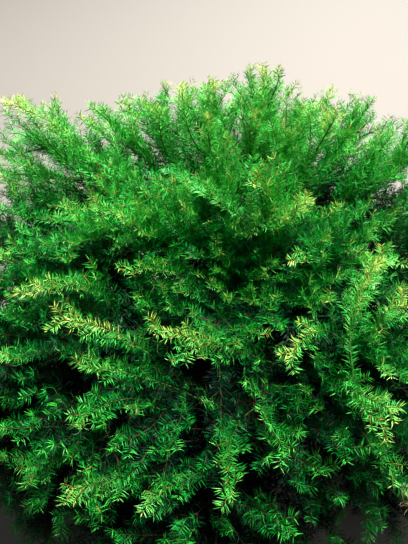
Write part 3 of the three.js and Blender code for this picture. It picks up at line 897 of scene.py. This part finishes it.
def plumes(branches, layers, occupied, rng):
    """A long twig to each place that has room, from a point of the branches that lies closer in, at about
    a plume's length, and from which it grows outwards and has to turn least."""
    anchor, along = anchors_of(branches)
    rows = []
    for layer, count, room in layers:
        for place, mass in zip(*places_in_light(layer, count, rng)):
            if norm(occupied - place, axis=1).min() < room:
                continue
            span = place - anchor
            far = norm(span, axis=1)
            outwards = unit(unit(place - CROWN_CENTRE) + UP * PLUME_UPWARDS)
            turn = 1 - (unit(span) * along).sum(1)
            astray = 1 - unit(span) @ outwards
            best = (LENGTH_WEIGHT * np.abs(far - PLUME_LONG) + TURN_WEIGHT * turn
                    + ASTRAY_WEIGHT * astray).argmin()
            start, length = anchor[best], far[best]
            curve = np.array((start, start + along[best] * length * PLUME_EASE, place))
            radii = (PLUME_RADIUS + RADIUS_BY_LENGTH * length, PLUME_TIP_RADIUS)
            vigour = PLUME_VIGOUR * rng.uniform() ** PLUME_VIGOUR_POWER
            rows.append(twig_row(curve, (start + place) / 2, mass, radii, 1, vigour))
            occupied = np.concatenate((occupied, point_on(curve, ROOM_SHARES)))
    return np.array(rows, TWIG), occupied


long_ones = long_plumes(branches)
occupied = np.concatenate([point_on(some["curve"][:, None], np.linspace(0.25, 1, 5)).reshape(-1, 3)
                           for some in (branches, long_ones)])
sunlit, occupied = plumes(branches, SUNLIT, occupied, np.random.default_rng(12))
shaded, occupied = plumes(branches, SHADED, occupied, np.random.default_rng(13))

# Shoots on each kind of branch. A row has the branches, the gap between two shoots, the bare share of a
# branch, the longest and the shortest, how far they lean out in degrees, their radius, and the seed.
MAIN_VIGOUR = 0.15
shoots = [shoots_on(*row) for row in (
    (branches, 0.0150, 0.22, 0.060, 0.032, 50, 0.0013, 3),
    (long_ones, 0.0110, 0.20, 0.058, 0.030, 50, 0.0012, 4),
    (sunlit, 0.0145, 0.28, 0.054, 0.026, 48, 0.0012, 5),
    (shaded, 0.0320, 0.20, 0.090, 0.060, 50, 0.0012, 6),
)]
shoots[0]["vigour"] += MAIN_VIGOUR
twigs = np.concatenate((branches, long_ones, sunlit, shaded, *shoots))

# How fresh a twig's growth is: oldest inside and low down, newest at the crown's outside and top. The same
# measure also carries painted shade, darker deep inside and low down, and painted light, lighter at the
# top.
MID_HEIGHT, HALF_HEIGHT = 0.43, 0.45
BY_REACH, MID_REACH = 4.2, 0.92
BY_HEIGHT_ABOVE, BY_HEIGHT_BELOW = 0.75, 2.10
BY_VIGOUR, MID_VIGOUR = 1.20, 0.40
twig_end = twigs["curve"][:, 2]
outer = out_share(twig_end, twigs["mass"])
height = (twig_end[:, 2] - MID_HEIGHT) / HALF_HEIGHT
with_height = np.where(height > 0, BY_HEIGHT_ABOVE, BY_HEIGHT_BELOW) * height
fresh_and_painted_light = BY_REACH * (outer - MID_REACH) + with_height + BY_VIGOUR * (twigs["vigour"] - MID_VIGOUR)


def plain(name, colour, roughness, shine):
    """A material of one plain screen colour."""
    made, shader = new_material(name, roughness)[:2]
    shader.inputs["Base Color"].default_value = linear(*colour)
    shader.inputs["Specular IOR Level"].default_value = shine
    return made


# The darkest wood tone also serves as painted shade low and deep in the crown, the newest as painted light
# up top.
WOOD = ("twig_old_and_shade", (58, 48, 28)), ("twig_green", (56, 90, 36)), ("twig_new", (150, 122, 56))
BRANCH_AGE = 0.75
WOOD_LIMITS = (0.0, 0.80)
wood_materials = [plain(name, colour, 0.7, 0.2) for name, colour in WOOD]
for name, orders, sides, steps in (("twigs_branches", (0, 1), 4, 5), ("twigs_shoots", (2,), 3, 2)):
    rows = np.isin(twigs["order"], orders)
    some = twigs[rows]
    points, faces = tubes(some["curve"], some["facing"], some["root"], some["tip"], sides, steps,
                          pointed=True)
    age_with_painted_light = fresh_and_painted_light[rows] - BRANCH_AGE * (some["order"] == 1)
    tone = np.digitize(age_with_painted_light, WOOD_LIMITS) * (some["order"] > 0)
    tones = np.repeat(tone, len(faces) // len(some))
    piece = mesh_piece(name, points, faces, wood_materials, tones, smooth=True)
    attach(piece, "root")

# Needles: flat, ridged yew needles that stand in two rows on the shoots, lean forwards, and close up
# round the growing tips. Old ones inside and low down are deep blue-green, darkened further there as
# painted shade, a year's growth is fresh green, and the youngest at the crown's outside are yellow-green to
# gold, lighter at the top and the rim as painted light. Three small sprays have dried brown.
NEEDLE_GAP = 0.00134
NEEDLE_LONG = 0.0188
NEEDLE_WIDE = 0.00160
NEEDLE_RIDGE = 0.0005
NEEDLE_WIDEST = 0.42
LONG_SPREAD = (0.84, 1.1)
WIDE_SPREAD = (0.88, 1.12)
BARE_SHARES = np.array((0.30, 0.12, 0.04))
INSIDE, INSIDE_DEPTH, SHADE_VIGOUR = 0.82, 0.18, 0.6
SHADE_FEWER, FEWER_BY_HEIGHT = 5.0, 3.2
SHADE_LONGER, SHADE_WIDER = 0.3, 3.0
CLOSES_FROM, CLOSES_OVER, CLOSING_POWER, CLOSED_SHORTER = 0.70, 0.30, 1.6, 0.35
LEAN, CLOSED_LEAN, LEAN_SPREAD = 69, 26, 7
LIFT, CLOSED_LIFT, LIFT_SPREAD = 12, 16, 12
ROUND_LIFT = (-35, 90)
BEND, BEND_SPREAD, SAG = 0.07, 0.05, 0.04


def needles_on(twigs, fresh_and_painted_light, outer, height, rng):
    """Corners of each needle, its twig, and its place along that twig. Fresh shoots carry needles all
    round, old ones in two flat rows, and inside the crown they are fewer and broader."""
    bare = BARE_SHARES[twigs["order"]]
    shade = np.clip((INSIDE - outer) / INSIDE_DEPTH, 0, 1) * (twigs["vigour"] < SHADE_VIGOUR)
    fewer = SHADE_FEWER - FEWER_BY_HEIGHT * np.clip(height + 0.10, 0, 1)
    gap = NEEDLE_GAP * (1 + shade * fewer)
    owner, turn, share, root, along, side, up, hand = stations(twigs, bare, gap, 0, (0.1, 0.9), rng)
    total = len(owner)
    closing = np.clip((share - CLOSES_FROM) / CLOSES_OVER, 0, 1)
    forward = np.radians(LEAN - CLOSED_LEAN * closing ** CLOSING_POWER + rng.normal(0, LEAN_SPREAD, total))
    round_about = np.clip(0.45 + 0.6 * fresh_and_painted_light[owner], 0.15, 0.9)
    lift = np.radians(LIFT + CLOSED_LIFT * closing + rng.normal(0, LIFT_SPREAD, total))
    around = rng.uniform(size=total) < round_about
    lift = np.where(around, np.radians(rng.uniform(*ROUND_LIFT, total)), lift)
    flat = side * hand * np.cos(lift)[:, None] + up * np.sin(lift)[:, None]
    heading = along * np.cos(forward)[:, None] + flat * np.sin(forward)[:, None]
    grown = NEEDLE_LONG * np.clip(share / 0.16, 0.6, 1) * (1 - CLOSED_SHORTER * closing)
    length = grown * (1 + SHADE_LONGER * shade[owner]) * rng.uniform(*LONG_SPREAD, total)
    length = length[:, None]
    width = NEEDLE_WIDE * (1 + SHADE_WIDER * shade[owner]) * rng.uniform(*WIDE_SPREAD, total)
    roll, pitch = rng.normal(0, 0.3, total)[:, None], rng.normal(-0.25, 0.25, total)[:, None]
    edge, normal = across(heading, unit(up + side * roll + along * pitch))
    bend = rng.normal(BEND, BEND_SPREAD, total)[:, None]
    tip = root + heading * length + along * length * bend - UP * length * SAG
    waist = root + heading * (length * NEEDLE_WIDEST) - normal * NEEDLE_RIDGE
    half = edge * (width / 2)[:, None]
    return np.stack((root, waist - half, waist + half, tip), axis=1), owner, share


needle_rng = np.random.default_rng(77)
corners, owner, share = needles_on(twigs, fresh_and_painted_light, outer, height, needle_rng)
kept = clear_of_pot(corners[:, 3])
corners, owner, share = corners[kept], owner[kept], share[kept]

# A needle's tone: by its twig's freshness with the painted light and shade in it, its place along the twig,
# and how deep it lies below its twig's end, which darkens it as painted shade. High twigs and the outermost
# needles keep a least tone as painted light, and a dry spray's shoots have their own.
# The two darkest tones stand partly for old needles and partly for painted shade; the deepest, near black,
# is mostly painted shade.
TONES = (
    ("needle_deep_shade", (0, 17, 12)),
    ("needle_dark", (0, 43, 23)),
    ("needle_mid", (0, 84, 32)),
    ("needle_fresh", (4, 138, 40)),
    ("needle_light", (56, 184, 56)),
    ("needle_lime", (112, 206, 84)),
    ("needle_gold", (178, 210, 84)),
    ("needle_dry", (176, 140, 104)),
)
TONE_LIMITS = (-0.34, -0.04, 0.28, 0.66, 1.08, 1.46)
TONE_SPREAD = 0.09
BY_SHARE, MID_SHARE = 0.45, 0.55
BY_DEPTH, MID_DEPTH = 4.4, 0.02
HIGH_SLOPE, HIGH_START, HIGH_MOST = 2.4, 0.50, 1.02
RIM_VALUE, RIM_SLOPE, RIM_REACH = 0.26, 10, 0.99
DRY_SPRAYS = np.array(((-0.512, 0.104, 0.525), (-0.499, -0.114, 0.419), (0.267, -0.479, 0.373)))
DRY_WITHIN = 0.03

needle_out = out_share(corners[:, 3], twigs["mass"][owner])
depth = outer[owner] - needle_out
value = fresh_and_painted_light[owner] + BY_SHARE * (share - MID_SHARE) - BY_DEPTH * (depth - MID_DEPTH)
# Painted light: high twigs, and needles out at the crown's rim, keep at least a lighter tone.
least_high_painted_light = np.minimum(HIGH_SLOPE * height[owner] - HIGH_START, HIGH_MOST)
least_rim_painted_light = RIM_VALUE - RIM_SLOPE * (RIM_REACH - needle_out)
value = np.maximum(value, np.maximum(least_high_painted_light, least_rim_painted_light))
value += needle_rng.normal(0, TONE_SPREAD, len(owner))
tone = np.digitize(value, TONE_LIMITS)
from_dry = norm(twig_end[:, None] - DRY_SPRAYS, axis=2).min(axis=1)
tone[((from_dry < DRY_WITHIN) & (twigs["order"] == 2))[owner]] = len(TONES) - 1

PIECES = (("skirt", 2), ("side", 3), ("shoulder", 3), ("leader", 2), ("upper", 2), ("heart", 1))
NEEDLE_FACES = np.array(((0, 3, 1), (0, 2, 3)))
ROUGHNESS = 0.42
SHINE, SHINE_STEP = 0.03, 0.05
needle_materials = [plain(name, colour, ROUGHNESS, SHINE + SHINE_STEP * number)
                    for number, (name, colour) in enumerate(TONES)]
for ring, parts in PIECES:
    masses = [number for number, limb in enumerate(limbs) if limb["ring"] == ring]
    for part in range(parts):
        some = masses[part::parts]
        rows = np.isin(twigs["mass"][owner], some)
        faces = (NEEDLE_FACES + 4 * np.arange(rows.sum())[:, None, None]).reshape(-1, 3)
        tones = np.repeat(tone[rows], len(NEEDLE_FACES))
        piece = mesh_piece(f"needles_{ring}_{part + 1}", corners[rows].reshape(-1, 3), faces,
                           needle_materials, tones)
        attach(piece, "root")
        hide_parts(*(f"foliage_{limbs[number]['name']}" for number in some))

# Floor and light: a wide plain pale floor, a large soft light from high up at the right and behind, a
# weaker one from far behind and a faint one from the front, and a dim even sky.
bpy.ops.mesh.primitive_plane_add(size=60, location=(0, 0, 0))
floor = bpy.context.object
floor.name = "floor"
floor.data.materials.append(plain("pale_floor", (126, 120, 112), 0.9, 0.5))

CROWN_MIDDLE = (0, 0, 0.4)


def soft_light(name, place, size, power):
    """A square area light at a place, turned to face the crown."""
    data = bpy.data.lights.new(name, "AREA")
    data.size = size
    data.energy = power
    light = add_object(name, data)
    light.location = place
    light.rotation_euler = (Vector(CROWN_MIDDLE) - Vector(place)).to_track_quat("-Z", "Y").to_euler()


soft_light("light_above", (1.3, 1.9, 4.8), 1.6, 900)
soft_light("light_front", (1.6, -2.4, 2.4), 2.0, 5)
soft_light("light_back", (1.6, 6.0, 2.4), 2.5, 300)
world = bpy.data.worlds.new("sky")
world.use_nodes = True
sky = world.node_tree.nodes["Background"].inputs
sky["Color"].default_value = (0.86, 0.93, 1, 1)
sky["Strength"].default_value = 0.17
bpy.context.scene.world = world
